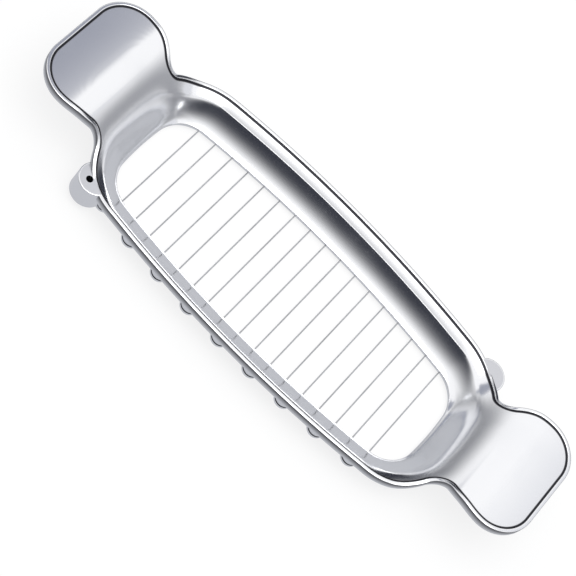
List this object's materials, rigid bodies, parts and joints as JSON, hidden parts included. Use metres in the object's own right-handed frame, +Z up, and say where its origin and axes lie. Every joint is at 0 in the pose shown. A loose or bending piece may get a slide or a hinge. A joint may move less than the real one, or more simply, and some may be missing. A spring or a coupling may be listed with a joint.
{
  "type": "wire butter slicer",
  "caption": "Hand-held slicer: an oval cast dish frame open in the middle, with a raised paddle handle at each end and taut parallel cutting wires strung across the opening.",
  "frame": {"origin": "middle of the slicer, on the plane that the peg feet rest on", "axes": "+X along the slicer from handle to handle, +Y to the far side, +Z up out of the dish"},
  "size_m": [0.2256, 0.0774, 0.0258],
  "materials": {
    "frame_chrome": "mirror-polished plated casting",
    "wire_steel": "bright drawn stainless wire",
    "screw_steel": "turned stainless steel"
  },
  "bodies": {
    "slicer": {"frame": "frame_chrome", "wire_strand_01": "wire_steel", "wire_strand_02": "wire_steel", "wire_strand_03": "wire_steel", "wire_strand_04": "wire_steel", "wire_strand_05": "wire_steel", "wire_strand_06": "wire_steel", "wire_strand_07": "wire_steel", "wire_strand_08": "wire_steel", "wire_strand_09": "wire_steel", "wire_strand_10": "wire_steel", "wire_strand_11": "wire_steel", "wire_strand_12": "wire_steel", "wire_strand_13": "wire_steel", "wire_strand_14": "wire_steel", "wire_strand_15": "wire_steel", "wire_strand_16": "wire_steel", "wire_strand_17": "wire_steel", "wire_turns_near": "wire_steel", "wire_turns_far": "wire_steel", "wire_tail_a": "wire_steel", "wire_tail_b": "wire_steel"},
    "washer_a": {"clamp_washer_a": "screw_steel"},
    "screw_a": {"clamp_screw_a": "screw_steel"},
    "washer_b": {"clamp_washer_b": "screw_steel"},
    "screw_b": {"clamp_screw_b": "screw_steel"}
  },
  "joints": [
    {"name": "washer_a_lift", "type": "slide", "parent": "slicer", "child": "washer_a", "axis": [0, 0, 1], "range_m": [-0.0009, 0]},
    {"name": "screw_a_turn", "type": "hinge", "parent": "washer_a", "child": "screw_a", "pos_m": [-0.073, -0.03115, 0.001], "axis": [0, 0, 1], "range_deg": [-721, 0]},
    {"name": "washer_b_lift", "type": "slide", "parent": "slicer", "child": "washer_b", "axis": [0, 0, 1], "range_m": [-0.0009, 0]},
    {"name": "screw_b_turn", "type": "hinge", "parent": "washer_b", "child": "screw_b", "pos_m": [0.073, 0.03115, 0.001], "axis": [0, 0, 1], "range_deg": [-721, 0]}
  ],
  "couplings": [
    {"joint": "screw_a_turn", "follows": "washer_a_lift", "rad_per_m": 13963},
    {"joint": "screw_b_turn", "follows": "washer_b_lift", "rad_per_m": 13963}
  ]
}
